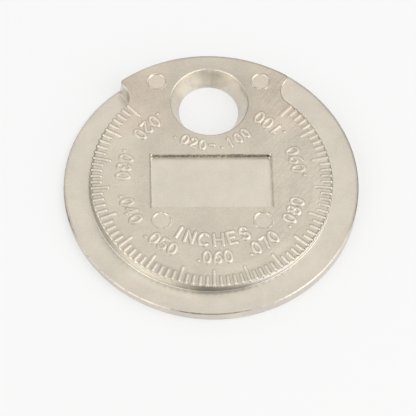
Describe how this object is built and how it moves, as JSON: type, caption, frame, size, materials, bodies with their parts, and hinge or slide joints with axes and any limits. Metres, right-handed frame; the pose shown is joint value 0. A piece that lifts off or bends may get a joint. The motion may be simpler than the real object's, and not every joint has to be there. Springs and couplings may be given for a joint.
{
  "type": "spark plug gap gauge",
  "caption": "Round cast gap gauge: a flat disc whose rim climbs as an even ramp around a raised dial, with a conical hole for a key ring.",
  "frame": {"origin": "centre of the disc, on its flat back face", "axes": "+Z through the thickness towards the dial, +Y towards the key-ring hole, +X to the right as the dial is read"},
  "size_m": [0.038, 0.038, 0.0028],
  "materials": {
    "nickel_plate": "satin nickel plate on a zinc die-casting"
  },
  "bodies": {
    "root": {"gauge_disc": "nickel_plate"}
  },
  "joints": []
}
